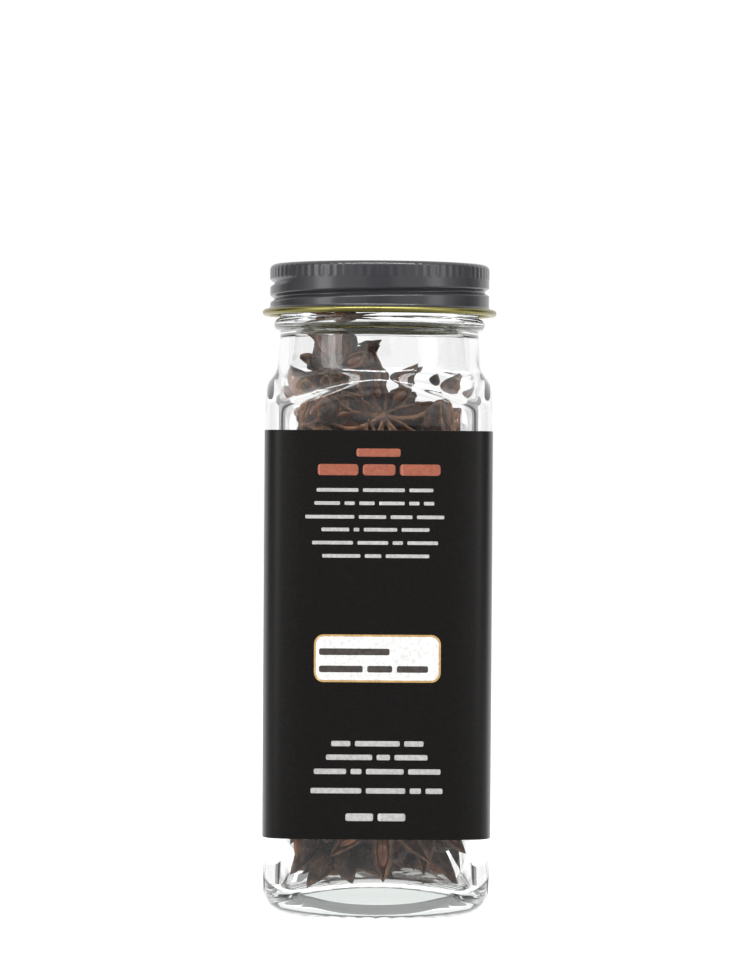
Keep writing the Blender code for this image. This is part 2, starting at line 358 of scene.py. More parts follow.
def gold_material():
    """Gold lacquer of the cap's inside, which shows on its rolled edge."""
    material, nodes, links, shader = new_material("gold_lacquer")
    shader.inputs["Metallic"].default_value = 1.0
    cloud = add_noise(nodes, links, 160, 3)
    stops = [(0.3, srgb(116, 111, 64)), (0.7, srgb(134, 128, 76))]
    colours = add_ramp(nodes, links, cloud.outputs["Fac"], stops)
    links.new(colours.outputs["Color"], shader.inputs["Base Color"])
    gloss = add_ramp(nodes, links, cloud.outputs["Fac"], [(0.3, 0.22), (0.7, 0.34)])
    links.new(gloss.outputs["Color"], shader.inputs["Roughness"])
    return material


def paper_material():
    """Black printed paper under a satin varnish, with the fine mottle of a flooded ink."""
    material, nodes, links, shader = new_material("black_paper")
    mottle = add_noise(nodes, links, 2200, 3, 0.65)
    stops = [(0.36, srgb(6, 5, 4)), (0.66, srgb(18, 15, 14))]
    colours = add_ramp(nodes, links, mottle.outputs["Fac"], stops)
    links.new(colours.outputs["Color"], shader.inputs["Base Color"])
    gloss = add_ramp(nodes, links, mottle.outputs["Fac"], [(0.3, 0.29), (0.7, 0.37)])
    links.new(gloss.outputs["Color"], shader.inputs["Roughness"])
    shader.inputs["Specular IOR Level"].default_value = 0.22
    fibre = add_noise(nodes, links, 900, 4)
    add_bump(nodes, links, fibre.outputs["Fac"], 0.02 * MM, 0.25, shader)
    return material


def ink_material(name, low, high):
    """Printing ink, a little uneven."""
    material, nodes, links, shader = new_material(name)
    mottle = add_noise(nodes, links, 1500, 3)
    colours = add_ramp(nodes, links, mottle.outputs["Fac"], [(0.35, srgb(*low)), (0.65, srgb(*high))])
    links.new(colours.outputs["Color"], shader.inputs["Base Color"])
    gloss = add_ramp(nodes, links, mottle.outputs["Fac"], [(0.3, 0.4), (0.7, 0.5)])
    links.new(gloss.outputs["Color"], shader.inputs["Roughness"])
    return material


def pod_material():
    """Dry woody pod: dark, wrinkled outside and tan where it has split."""
    material, nodes, links, shader = new_material("dried_pod")
    blotch = add_noise(nodes, links, 420, 8, 0.68)
    stops = [
        (0.32, srgb(23, 18, 16)),
        (0.47, srgb(56, 41, 34)),
        (0.58, srgb(96, 70, 54)),
        (0.70, srgb(158, 120, 88)),
    ]
    bark = add_ramp(nodes, links, blotch.outputs["Fac"], stops)
    grain = add_noise(nodes, links, 700, 4, 0.6)
    stops = [(0.32, srgb(112, 68, 38)), (0.52, srgb(160, 104, 60)), (0.70, srgb(196, 142, 92))]
    flesh = add_ramp(nodes, links, grain.outputs["Fac"], stops)
    region = nodes.new("ShaderNodeAttribute")
    region.attribute_name = "flesh"
    mix = nodes.new("ShaderNodeMix")
    mix.data_type = "RGBA"
    links.new(region.outputs["Fac"], mix.inputs["Factor"])
    first, second, mixed = mix.inputs[6], mix.inputs[7], mix.outputs[2]  # the node's colour sockets
    links.new(bark.outputs["Color"], first)
    links.new(flesh.outputs["Color"], second)
    links.new(mixed, shader.inputs["Base Color"])
    gloss = add_ramp(nodes, links, blotch.outputs["Fac"], [(0.3, 0.72), (0.7, 0.5)])
    links.new(gloss.outputs["Color"], shader.inputs["Roughness"])
    wrinkle = add_noise(nodes, links, 800, 8, 0.68)
    add_bump(nodes, links, wrinkle.outputs["Fac"], 0.6 * MM, 1.0, shader)
    return material


def seed_material():
    """Smooth glossy brown seed."""
    material, nodes, links, shader = new_material("pod_seed")
    cloud = add_noise(nodes, links, 400, 3)
    stops = [(0.35, srgb(92, 48, 24)), (0.65, srgb(140, 82, 42))]
    colours = add_ramp(nodes, links, cloud.outputs["Fac"], stops)
    links.new(colours.outputs["Color"], shader.inputs["Base Color"])
    gloss = add_ramp(nodes, links, cloud.outputs["Fac"], [(0.3, 0.16), (0.7, 0.26)])
    links.new(gloss.outputs["Color"], shader.inputs["Roughness"])
    return material


# ---------------------------------------------------------------- jar


def jar_angles():
    """Polar angles of the jar's points, close together round the corners."""
    corner_steps, side_steps, sector = 20, 36, math.radians(14)
    found = []
    for quarter in range(4):
        corner = math.radians(45 + 90 * quarter)
        found += list(corner + np.linspace(-sector, sector, corner_steps, endpoint=False))
        side = math.radians(90) - 2 * sector
        found += list(corner + sector + np.linspace(0, side, side_steps, endpoint=False))
    return np.array(found)


def wave(angles, z):
    """Unevenness of blown glass, smooth and a few millimetres from one crest to the next."""
    found = []
    for angle in angles:
        place = Vector((math.cos(angle), math.sin(angle), 0)) * BODY_HALF + Vector((0, 0, z))
        found.append(noise.noise(place / WAVE_LENGTH))
    growth = 1 + min(max((z - WAVE_GROWS) / WAVE_GROWTH, 0), 1)
    return WAVE * growth * np.array(found)


def stipple(angles):
    """Height of the bearing ring over the moulded bars that it stands on."""
    return STIPPLE_DEPTH * (0.5 - 0.5 * np.cos(STIPPLES * angles)) ** 0.7


def make_jar(material):
    angles = jar_angles()
    bars = stipple(angles)
    rings = []
    for share in (0.08, 0.2, 0.35, 0.5, 0.65, 0.8, 0.92):
        rings.append(ring(angles, PUSH_UP * (1 - share**2), share * BEARING_IN))
    rings.append(ring(angles, FOOT_ROUND + 0.2 * bars, BEARING_IN))
    rings.append(ring(angles, bars, BEARING_IN + FOOT_STEP))
    rings.append(ring(angles, bars, 0.5 * (BEARING_IN + BEARING_OUT)))
    rings.append(ring(angles, bars, outside(angles, 0.0)))
    heel_steps = 16
    for i in range(1, heel_steps + 1):
        z = HEEL * (1 - math.cos(math.pi / 2 * i / heel_steps))
        fade = max(1 - z / STIPPLE_FADE, 0) ** 2
        rings.append(ring(angles, z + fade * bars, outside(angles, z)))
    for z in np.linspace(HEEL, SHOULDER_START, 24)[1:]:
        rings.append(ring(angles, z, outside(angles, z)))
    for z in np.linspace(SHOULDER_START, SHOULDER_TOP, 84)[1:]:
        rings.append(ring(angles, z, outside(angles, z)))
    rings.append(ring(angles, 0.5 * (SHOULDER_TOP + BEAD_Z - BEAD_R), NECK_R))
    for r, z in arc(NECK_R, BEAD_Z, BEAD_R, -88, 88, 14):
        rings.append(ring(angles, z, r))
    for z in np.linspace(THREAD_LOW, THREAD_HIGH, 26):
        rings.append(ring(angles, z, NECK_R + THREAD_HEIGHT * helix(angles, z, RIDGE_TURNS, 0.5)))
    for r, z in arc(NECK_R - RIM_ROUND, RIM_Z - RIM_ROUND, RIM_ROUND, 0, 90, 5):
        rings.append(ring(angles, z, r))
    for r, z in arc(BORE_R + RIM_ROUND, RIM_Z - RIM_ROUND, RIM_ROUND, 90, 180, 5):
        rings.append(ring(angles, z, r))
    for z in np.linspace(BORE_TOP, INNER_SHOULDER_START, 76):
        rings.append(ring(angles, z, inside(angles, z) + wave(angles, z)))
    edge = inner_heel(angles, 0.0)
    for z in np.linspace(INNER_SHOULDER_START, FLOOR_MIDDLE + 1.4 * INNER_HEEL, 26)[1:]:
        rings.append(ring(angles, z, inside(angles, z) + wave(angles, z)))
    inner_heel_steps = 14
    for i in range(inner_heel_steps, -1, -1):
        above = INNER_HEEL * (1 - math.cos(math.pi / 2 * i / inner_heel_steps))
        fade = i / inner_heel_steps
        r = inner_heel(angles, above) + fade * wave(angles, FLOOR_MIDDLE + above)
        rings.append(ring(angles, floor_height(edge) + above, r))
    for share in (0.92, 0.8, 0.65, 0.5, 0.35, 0.2, 0.08):
        rings.append(ring(angles, floor_height(share * edge), share * edge))
    points, faces = skin(rings, (PUSH_UP, FLOOR_MIDDLE))
    made = piece("jar_glass", points, faces, [material], "clear_glass")
    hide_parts("jar")
    return made


# ---------------------------------------------------------------- cap


def make_cap(lacquer, gold):
    """The tinplate cap: black outside, and gold on the curl and inside."""
    angles = np.linspace(0, 2 * math.pi, KNURLS * KNURL_STEPS, endpoint=False)
    flute = (0.5 - 0.5 * np.cos(KNURLS * angles)) ** 0.8
    step_r = PANEL_R + PANEL_DROP
    rings = []
    for r in (6 * MM, 13 * MM, PANEL_R - 0.15 * MM):
        rings.append(ring(angles, CAP_TOP - PANEL_DROP, r))
    rings.append(ring(angles, CAP_TOP - 0.93 * PANEL_DROP, PANEL_R))
    rings.append(ring(angles, CAP_TOP - 0.07 * PANEL_DROP, step_r - 0.05 * MM))
    rings.append(ring(angles, CAP_TOP, step_r + 0.12 * MM))
    for r, z in arc(CAP_R - CAP_CORNER, CAP_TOP - CAP_CORNER, CAP_CORNER, 90, 0, 9):
        sink = min(max((r - (CAP_R - 0.45 * CAP_CORNER)) / (0.45 * CAP_CORNER), 0), 1)
        rings.append(ring(angles, z, r + sink * (KNURL_PROUD - KNURL_DEPTH * flute)))
    band_top = CAP_TOP - CAP_CORNER
    for z in np.linspace(band_top, KNURL_BOTTOM, 6)[1:]:
        rings.append(ring(angles, z, CAP_R + KNURL_PROUD - KNURL_DEPTH * flute))
    for share in (0.3, 0.6, 0.85, 1.0):
        z = KNURL_BOTTOM - KNURL_END * share
        left = 1 - share**2
        rings.append(ring(angles, z, skirt(angles, z) + left * (KNURL_PROUD - KNURL_DEPTH * flute)))
    skirt_heights = np.linspace(KNURL_BOTTOM - 0.15 * MM - KNURL_END, SKIRT_BOTTOM, 30)
    for z in skirt_heights:
        rings.append(ring(angles, z, skirt(angles, z)))
    black_rows = len(rings) + 1  # black down to the first strip of the curl
    for r, z in arc(CURL_RING_R, CURL_Z, CURL_R, 125, -180, 18):
        rings.append(ring(angles, z, r))
    for z in skirt_heights[::-1]:
        rings.append(ring(angles, z, skirt(angles, z) - SHEET))
    rings.append(ring(angles, CAP_TOP - CAP_CORNER, CAP_R - KNURL_DEPTH - SHEET))
    rings.append(ring(angles, CAP_TOP - SHEET, CAP_R - CAP_CORNER - SHEET))
    rings.append(ring(angles, CAP_TOP - SHEET, step_r))
    rings.append(ring(angles, CAP_TOP - PANEL_DROP - SHEET, PANEL_R))
    rings = [r[::-1] for r in rings]
    points, faces = skin(rings, (CAP_TOP - PANEL_DROP, CAP_TOP - PANEL_DROP - SHEET))
    count = len(angles)
    gold_face = [int(face // count >= black_rows) for face in range((len(rings) - 1) * count)]
    gold_face += [0, 1] * count
    made = piece("cap_tinplate", points, faces, [lacquer, gold], "black_lacquer", gold_face)
    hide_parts("cap")
    return made


def skirt(angles, z):
    """Radius of the cap's skirt with its rolled thread."""
    return CAP_R - GROOVE_DEPTH * helix(angles, z, GROOVE_TURNS, 0.0)


# ---------------------------------------------------------------- label and print


def make_label(material):
    """A paper band once round the jar, its ends lapped at the back."""
    last = SEAM + 2 * math.pi + SEAM_OVERLAP
    turns = np.unique(np.concatenate([jar_angles(), jar_angles() + 2 * math.pi]))
    turns = turns[(turns > SEAM) & (turns < last)]
    turns = np.concatenate([[SEAM], turns, [last]])
    over = np.clip((turns - (last - SEAM_OVERLAP - LAP_RISE)) / LAP_RISE, 0, 1)
    out = LABEL_OUT - PAPER + over * over * (3 - 2 * over) * LAP_LIFT
    points, rows = [], 24
    heights = np.linspace(LABEL_BOTTOM, LABEL_TOP, rows)
    heights[1], heights[-2] = LABEL_BOTTOM + EDGE, LABEL_TOP - EDGE
    for z in heights:
        points += list(ring(turns, z, outside(turns, z) + out + PAPER))
    for z in heights:
        points += list(ring(turns, z, outside(turns, z) + out))
    count, back = len(turns), rows * len(turns)
    faces = []
    for row in range(rows - 1):
        for i in range(count - 1):
            a, b = row * count + i, (row + 1) * count + i
            faces.append((a, a + 1, b + 1, b))
            faces.append((back + b, back + b + 1, back + a + 1, back + a))
        a, b = row * count, (row + 1) * count
        faces.append((a, b, back + b, back + a))
        a, b = a + count - 1, b + count - 1
        faces.append((b, a, back + a, back + b))
    for i in range(count - 1):
        top = (rows - 1) * count + i
        faces.append((back + i, back + i + 1, i + 1, i))
        faces.append((top, top + 1, back + top + 1, back + top))
    made = piece("label_paper", points, faces, [material], "black_paper")
    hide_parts("label")
    return made


def panel_y(x, stand_off):
    """Where the label's front face is at x, and the print that far in front of it."""
    half = BODY_HALF + LABEL_OUT
    return -(half * (1 - (abs(x) / half) ** SQUARENESS) ** (1 / SQUARENESS) + stand_off)


def outline(left, right, low, high, radius):
    """A rectangle's outline with round corners, anticlockwise as seen from the front."""
    corners = ((right, low, -90), (right, high, 0), (left, high, 90), (left, low, 180))
    points = []
    for x, z, first in corners:
        middle_x = x - math.copysign(radius, x - (left + right) / 2)
        middle_z = z - math.copysign(radius, z - (low + high) / 2)
        for i in range(7):
            turn = math.radians(first + 15 * i)
            points.append((middle_x + radius * math.cos(turn), middle_z + radius * math.sin(turn)))
    return points


def field(left, right, low, high, radius, stand_off):
    """Points and faces of a thin field of ink that follows the panel, in strips across it."""
    edge = outline(left, right, low, high, radius)
    strips = sorted({x for x, _ in edge} | set(np.linspace(left, right, 9)))
    points, faces = [], []
    for x in strips:
        dx = max(left + radius - x, x - (right - radius), 0)
        cut = radius - math.sqrt(max(radius**2 - dx**2, 0))
        for z in (low + cut, high - cut):
            points.append((x, panel_y(x, stand_off), z))
    for i in range(len(strips) - 1):
        faces.append((2 * i, 2 * i + 2, 2 * i + 3, 2 * i + 1))
    return points, faces


def joined(parts):
    """Several (points, faces) as one."""
    points, faces = [], []
    for some_points, some_faces in parts:
        start = len(points)
        points += list(some_points)
        faces += [tuple(start + i for i in face) for face in some_faces]
    return points, faces


def text_line(z, height, left, right, words):
    """Bars for the words of one printed line: words are their shares of its width."""
    gap = 0.9 * MM
    each = (right - left - gap * (len(words) - 1)) / sum(words)
    bars, x = [], left
    for word in words:
        wide = word * each
        bars.append(field(x, x + wide, z - height / 2, z + height / 2, 0.28 * height, INK))
        x += wide + gap
    return bars


def make_print():
    """The printed panel without its words: bars in place of lines, and the framed white field."""
    white = ink_material("white_ink", (214, 214, 212), (240, 240, 238))
    text = ink_material("text_ink", (166, 165, 163), (188, 187, 185))
    copper = ink_material("copper_ink", (142, 78, 58), (160, 90, 68))
    tan = ink_material("tan_ink", (176, 140, 84), (200, 164, 104))
    dark = ink_material("dark_ink", (52, 46, 44), (70, 64, 60))
    heading = text_line(92.6 * MM, 1.6 * MM, -4.4 * MM, 4.3 * MM, (1,))
    heading += text_line(89.2 * MM, 2.2 * MM, -12.0 * MM, 12.2 * MM, (5, 4, 5))
    points, faces = joined(heading)
    piece("print_heading", points, faces, [copper], None)

    lines = (
        (85.2, 0.7, -12.2, 10.8, (7, 7, 4)),
        (82.6, 0.7, -12.6, 11.0, (5, 2, 3, 5, 2, 2)),
        (79.9, 0.7, -14.4, 13.0, (9, 5, 4, 5)),
        (77.4, 0.7, -11.2, 10.1, (5, 1, 6, 5)),
        (74.8, 0.7, -13.0, 11.8, (8, 6, 2, 6)),
        (72.2, 0.7, -11.0, 10.1, (7, 3, 8)),
        (35.2, 1.05, -9.0, 9.2, (3, 7, 3)),
        (32.5, 1.05, -10.0, 10.0, (7, 2, 5)),
        (29.7, 1.05, -12.4, 12.6, (6, 2, 7, 6)),
        (25.9, 1.05, -13.0, 13.0, (9, 7, 2, 3)),
        (20.7, 1.5, -6.1, 5.7, (3, 3)),
    )
    bars = []
    for z, height, left, right, words in lines:
        bars += text_line(z * MM, height * MM, left * MM, right * MM, words)
    points, faces = joined(bars)
    piece("print_lines", points, faces, [text], None)

    frame_field = field(-12.5 * MM, 12.5 * MM, 47.3 * MM, 56.7 * MM, 1.9 * MM, INK)
    piece("print_frame", *frame_field, [tan], None)
    white_field = field(-12.1 * MM, 12.1 * MM, 47.7 * MM, 56.3 * MM, 1.55 * MM, 2 * INK)
    piece("print_field", *white_field, [white], None)
    notes = text_line(53.3 * MM, 1.3 * MM, -11.5 * MM, 2.4 * MM, (1,))
    notes += text_line(49.9 * MM, 1.3 * MM, -11.5 * MM, 10.0 * MM, (7, 4, 5))
    points, faces = joined(notes)
    points = [(x, y - 2 * INK, z) for x, y, z in points]
    piece("print_notes", points, faces, [dark], None)


# ---------------------------------------------------------------- pods


def pod_plan(rng):
    """The carpels of one pod: where each points, how big it is and how far it has split."""
    count = rng.choice((7, 8, 8, 8, 9))
    plan = []
    for i in range(count):
        full = rng.random() > 0.16
        size = rng.uniform(0.88, 1.06) if full else rng.uniform(0.55, 0.75)
        plan.append(
            {
                "turn": 2 * math.pi * (i + rng.uniform(-0.13, 0.13)) / count,
                "length": POD_REACH * size,
                "height": POD_HEIGHT * (0.4 + 0.6 * size) * rng.uniform(0.88, 1.08),
                "width": POD_WIDTH * (0.5 + 0.5 * size) * rng.uniform(0.85, 1.1),
                "split": rng.uniform(0.25, 0.62) if full else 0.06,
                "lift": rng.uniform(-0.06, 0.16),
                "seed": full and rng.random() > 0.35,
            }
        )
    return plan


def carpel(plan, shift, flesh):
    """Points and faces of one boat-shaped carpel along +X, split along its upper edge."""
    steps, outer, inner = 14, 13, 9
    length, height, half_width = plan["length"], plan["height"], plan["width"] / 2
    points, loop = [], outer + inner
    for i in range(steps + 1):
        u = i / steps
        x = length * (0.04 + 0.96 * u)
        belly = (math.sin(math.pi * min(0.18 + 0.82 * u, 1)) ** 0.62) if u < 1 else 0.0
        wide = half_width * max(math.sin(math.pi * min(0.12 + 0.88 * u, 1)) ** 0.85, 0.02)
        deep = height * max(belly * (1 - 0.25 * u), 0.03)
        top = height * (0.30 + plan["lift"] * 2 * u**2 - 0.10 * math.sin(math.pi * u))
        middle = top - deep / 2
        split = plan["split"] * math.sin(math.pi * min(max((u - 0.06) / 0.9, 0), 1)) ** 0.7
        opening = 0.12 + 0.95 * split
        for j in range(loop):
            out = j < outer
            share = j / (outer - 1) if out else 1 - (j - outer + 0.5) / inner
            angle = (2 * share - 1) * (math.pi - opening)
            thick = 0.0 if out else min(SHELL, 0.45 * wide)
            y = (wide - thick) * math.copysign(abs(math.sin(angle)) ** 0.85, math.sin(angle))
            z = middle - (deep / 2 - thick) * math.cos(angle)
            spot = Vector((x, y, z))
            if out:
                place = spot + shift
                rough = noise.noise(place / (2.4 * MM)) + 0.5 * noise.noise(place / (1.1 * MM))
                ridge = 0.42 * MM * rough * min(1, 6 * (1 - u))
                spot += Vector((0, y, z - middle)).normalized() * ridge
            points.append(spot)
            lip = 1 - min(min(share, 1 - share) / 0.07, 1)
            flesh.append(0.85 if not out else 0.75 * lip)
    faces = []
    for i in range(steps):
        for j in range(loop):
            k = (j + 1) % loop
            a, b = i * loop, (i + 1) * loop
            faces.append((a + j, b + j, b + k, a + k))
    faces.append(tuple(range(loop)))
    faces.append(tuple(steps * loop + j for j in reversed(range(loop))))
    return points, faces


def turned(points, turn):
    spin = Matrix.Rotation(turn, 3, "Z")
    return [spin @ p for p in points]


def hub(rng, flesh):
    """The short column that the carpels grow from, with the stump of its stalk below."""
    count, parts = 10, []
    column = ((0.6, 2.2), (1.5, 1.7), (2.0, 0.2), (2.1, -1.4), (1.7, -2.8))
    stalk = ((1.0, -3.4), (0.8, -4.6), (0.75, -5.4))
    profile = column + stalk
    lean = rng.uniform(-0.25, 0.25)
    for r, z in profile:
        for i in range(count):
            a = 2 * math.pi * i / count
            drift = lean * max(column[-1][1] - z, 0)
            parts.append(Vector((r * math.cos(a) + drift, r * math.sin(a), z)) * MM)
            flesh.append(0.1)
    faces = []
    for row in range(len(profile) - 1):
        for i in range(count):
            k = (i + 1) % count
            faces.append((row * count + i, (row + 1) * count + i, (row + 1) * count + k, row * count + k))
    last = (len(profile) - 1) * count
    faces.append(tuple(range(count)))
    faces.append(tuple(last + i for i in reversed(range(count))))
    return parts, faces


def seed_shape(plan):
    """A flat oval seed lying in its carpel."""
    rows, count = 7, 12
    points, faces = [], []
    middle = Vector((0.56 * plan["length"], 0, 0.02 * plan["height"]))
    for row in range(rows + 1):
        v = math.pi * (0.04 + 0.92 * row / rows)
        for i in range(count):
            a = 2 * math.pi * i / count
            r = math.sin(v)
            spot = Vector((3.3 * MM * math.cos(v), 1.25 * MM * r * math.cos(a), 1.9 * MM * r * math.sin(a)))
            points.append(middle + spot)
    for row in range(rows):
        for i in range(count):
            k = (i + 1) % count
            faces.append((row * count + i, row * count + k, (row + 1) * count + k, (row + 1) * count + i))
    faces.append(tuple(reversed(range(count))))
    faces.append(tuple(rows * count + i for i in range(count)))
    return points, faces


def balls(plan):
    """Spheres that stand for a pod while the heap settles: (x, y, z, radius) rows in its own frame."""
    found = [(0, 0, -0.4 * MM, 3.0 * MM), (0, 0, -4.4 * MM, 1.2 * MM)]
    for c in plan:
        for share, size in ((0.36, 0.42), (0.64, 0.40), (0.92, 0.22)):
            reach = share * c["length"]
            z = c["height"] * (-0.19 + c["lift"] * share)
            found.append((reach * math.cos(c["turn"]), reach * math.sin(c["turn"]), z, size * c["height"]))
    return found


def seats(rng):
    """Where each pod starts: (middle, the way its split side faces, spin). Those that show are placed."""
    placed = [
        ((-12.5, -14.0, 17.0), (-0.15, -1.0, 0.15), 22.5),
        ((12.0, -14.0, 19.0), (0.20, -1.0, 0.05), 20.0),
        ((0.0, -15.5, 17.5), (0.05, -1.0, 0.10), 0.0),
        ((-5.0, -6.5, 10.5), (0.05, -0.25, -1.0), 12.0),
        ((6.0, -5.0, 15.0), (-0.1, -0.9, 0.4), 30.0),
        ((4.0, 7.0, 11.5), (-0.1, -0.2, -1.0), 30.0),
        ((-15.5, 0.0, 16.0), (-0.9, -0.4, 0.2), 10.0),
        ((15.5, 0.0, 18.0), (0.9, -0.4, 0.2), 10.0),
        ((-9.0, 14.0, 17.0), (-0.2, 1.0, 0.2), 10.0),
        ((9.0, 14.0, 18.0), (0.2, 1.0, 0.2), 30.0),
        ((-14.0, -12.5, 97.5), (-0.15, -0.95, 0.25), 0.0),
        ((12.0, -11.0, 95.5), (0.30, -0.80, 0.50), 30.0),
        ((0.0, -14.0, 94.0), (0.1, -1.0, 0.10), 4.0),
        ((-1.0, -5.0, 97.0), (-0.15, -0.9, 0.4), 20.0),
        ((2.0, 5.0, 98.0), (0.15, -0.6, 0.8), 20.0),
        ((14.0, -1.0, 96.5), (0.7, -0.6, 0.5), 5.0),
        ((-14.0, 0.0, 96.5), (-0.7, -0.5, 0.5), 40.0),
        ((12.0, 11.0, 97.5), (0.5, 0.5, 0.7), 5.0),
        ((-12.0, 11.0, 97.5), (-0.5, 0.5, 0.7), 25.0),
        ((0.0, 14.0, 96.0), (0.1, 0.9, 0.3), 15.0),
        ((3.0, 2.0, 102.0), (0.15, -0.45, 0.9), 10.0),
        ((4.0, -9.0, 100.0), (0.05, -0.75, 0.65), 15.0),
    ]
    found = [(np.array(m) * MM, np.array(f, float), math.radians(s)) for m, f, s in placed]
    for level in range(6):
        z = (28 + 10.5 * level) * MM
        lean = rng.uniform(0, math.pi)
        for side in (0, math.pi):
            x = 9.0 * MM * math.cos(lean + side)
            y = 9.0 * MM * math.sin(lean + side)
            facing = np.array([rng.uniform(-1, 1) for _ in range(3)])
            found.append((np.array((x, y, z + rng.uniform(-2, 2) * MM)), facing, rng.uniform(0, 6)))
    return found


def facing_frame(direction, spin):
    """A rotation that turns +Z to a direction, after a spin about +Z."""
    turn = Vector(direction).to_track_quat("Z", "Y").to_matrix()
    return np.array(turn @ Matrix.Rotation(spin, 3, "Z"))


def settle(middles, frames, shapes, steps, weight):
    """Pushes overlapping pods apart, and back inside the cavity, as they sink under their weight."""
    most = max(len(s) for s in shapes)
    local = np.zeros((len(shapes), most, 3))
    size = np.zeros((len(shapes), most))
    for i, shape in enumerate(shapes):
        local[i, : len(shape)] = [s[:3] for s in shape]
        size[i, : len(shape)] = [s[3] for s in shape]
    real = size > 0
    radius = size.ravel()
    owner = np.repeat(np.arange(len(shapes)), most)
    apart = (owner[:, None] != owner[None]) & real.ravel()[:, None] & real.ravel()[None]
    reach = radius[:, None] + radius[None]
    half = BODY_HALF - WALL
    wall_push, ease, spin_ease, spin_arm, most_spin = 2.0, 0.7, 0.6, 8 * MM, 0.15
    for step in range(steps):
        arm = np.einsum("nij,nmj->nmi", frames, local)
        spot = (middles[:, None] + arm).reshape(-1, 3)
        gap = spot[:, None] - spot[None]
        distance = np.sqrt((gap**2).sum(-1)) + 1e-9
        press = np.where(apart, np.maximum(reach - distance, 0), 0)
        push = ((press / distance)[..., None] * gap).sum(1)
        touching = (press > 0).sum(1).astype(float)
        out = np.hypot(spot[:, 0], spot[:, 1]) + 1e-9
        angle = np.arctan2(spot[:, 1], spot[:, 0])
        room = inside(angle, spot[:, 2]) * (1 - radius / half)
        excess = np.maximum(out - room, 0)
        push[:, 0] -= wall_push * excess * spot[:, 0] / out
        push[:, 1] -= wall_push * excess * spot[:, 1] / out
        base = floor_height(out) + radius
        rise = np.maximum(base - spot[:, 2], 0)
        push[:, 2] += wall_push * rise
        touching += (excess > 0) + (rise > 0)
        push[~real.ravel()] = 0
        push = push.reshape(len(shapes), most, 3)
        contacts = np.maximum(touching.reshape(len(shapes), most).sum(1), 1)[:, None]
        middles += ease * push.sum(1) / contacts
        middles[:, 2] -= weight * (1 - step / steps)
        torque = np.cross(arm, push).sum(1) / contacts / spin_arm**2
        for i, turn in enumerate(spin_ease * torque):
            angle_now = float(np.linalg.norm(turn))
            if angle_now > 1e-7:
                spin = Matrix.Rotation(min(angle_now, most_spin), 3, Vector(turn / angle_now))
                frames[i] = np.array(spin) @ frames[i]
    return middles, frames


def kept_inside(points):
    """The points, with any that would be in the glass brought back to the cavity's wall or floor."""
    clearance = 0.2 * MM
    spots = np.array([tuple(p) for p in points])
    angle = np.arctan2(spots[:, 1], spots[:, 0])
    out = np.hypot(spots[:, 0], spots[:, 1]) + 1e-9
    spots[:, 2] = np.maximum(spots[:, 2], floor_height(out) + clearance)
    above = np.maximum(spots[:, 2] - floor_height(inner_heel(angle, 0.0)), 0)
    room = np.minimum(inside(angle, spots[:, 2]), inner_heel(angle, above)) - WAVE - clearance
    spots[:, :2] *= np.minimum(room / out, 1)[:, None]
    return spots


def make_pods(bark, seed_skin):
    rng = random.Random(PODS_SEED)
    starts = seats(rng)
    plans = [pod_plan(rng) for _ in starts]
    middles = np.array([s[0] for s in starts])
    frames = np.array([facing_frame(direction, spin) for _, direction, spin in starts])
    middles, frames = settle(middles, frames, [balls(p) for p in plans], 220, 0.05 * MM)
    for (x, y, z), facing, spin in NECK_PODS:
        middles = np.vstack([middles, np.array((x, y, z)) * MM])
        frames = np.concatenate([frames, facing_frame(facing, math.radians(spin))[None]])
        plans.append(pod_plan(rng))
    pod_parts, seed_parts, flesh = [], [], []
    for number, plan in enumerate(plans):
        place = Matrix(frames[number]).to_4x4()
        place.translation = Vector(middles[number])
        shift = Vector((number, 3 * number, -number)) * 37 * MM
        parts = [hub(rng, flesh)]
        for c in plan:
            points, faces = carpel(c, shift, flesh)
            parts.append((turned(points, c["turn"]), faces))
            if c["seed"]:
                points, faces = seed_shape(c)
                points = [place @ p for p in turned(points, c["turn"])]
                seed_parts.append((points, faces))
        points, faces = joined(parts)
        pod_parts.append(([place @ p for p in points], faces))
    points, faces = joined(pod_parts)
    pods = piece("star_anise_pods", kept_inside(points), faces, [bark], "dried_pod")
    layer = pods.data.attributes.new("flesh", "FLOAT", "POINT")
    layer.data.foreach_set("value", flesh)
    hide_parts("star_anise")
    points, faces = joined(seed_parts)
    piece("star_anise_seeds", kept_inside(points), faces, [seed_skin], "dried_pod")


# ---------------------------------------------------------------- stage, light and camera


def make_floor():
    """A white floor that keeps the jar's shadow."""
    half = 4.0
    mesh = bpy.data.meshes.new("floor")
    corners = [(-half, -half, 0), (half, -half, 0), (half, half, 0), (-half, half, 0)]
    mesh.from_pydata(corners, [], [(0, 1, 2, 3)])
    floor = bpy.data.objects.new("floor", mesh)
    bpy.context.scene.collection.objects.link(floor)
    material, nodes, links, shader = new_material("floor")
    shader.inputs["Base Color"].default_value = (0.8, 0.8, 0.8, 1)
    shader.inputs["Roughness"].default_value = 0.9
    shader.inputs["Specular IOR Level"].default_value = 0.0
    path = nodes.new("ShaderNodeLightPath")
    seen = nodes.new("ShaderNodeMath")
    seen.operation = "ADD"
    more = nodes.new("ShaderNodeMath")
    more.operation = "ADD"
    more.use_clamp = True
    links.new(path.outputs["Is Camera Ray"], seen.inputs[0])
    links.new(path.outputs["Is Glossy Ray"], seen.inputs[1])
    links.new(seen.outputs[0], more.inputs[0])
    links.new(path.outputs["Is Transmission Ray"], more.inputs[1])
    glow = nodes.new("ShaderNodeMath")
    glow.operation = "MULTIPLY"
    glow.inputs[1].default_value = 0.72
    links.new(more.outputs[0], glow.inputs[0])
    shader.inputs["Emission Color"].default_value = (1, 1, 1, 1)
    links.new(glow.outputs[0], shader.inputs["Emission Strength"])
    mesh.materials.append(material)


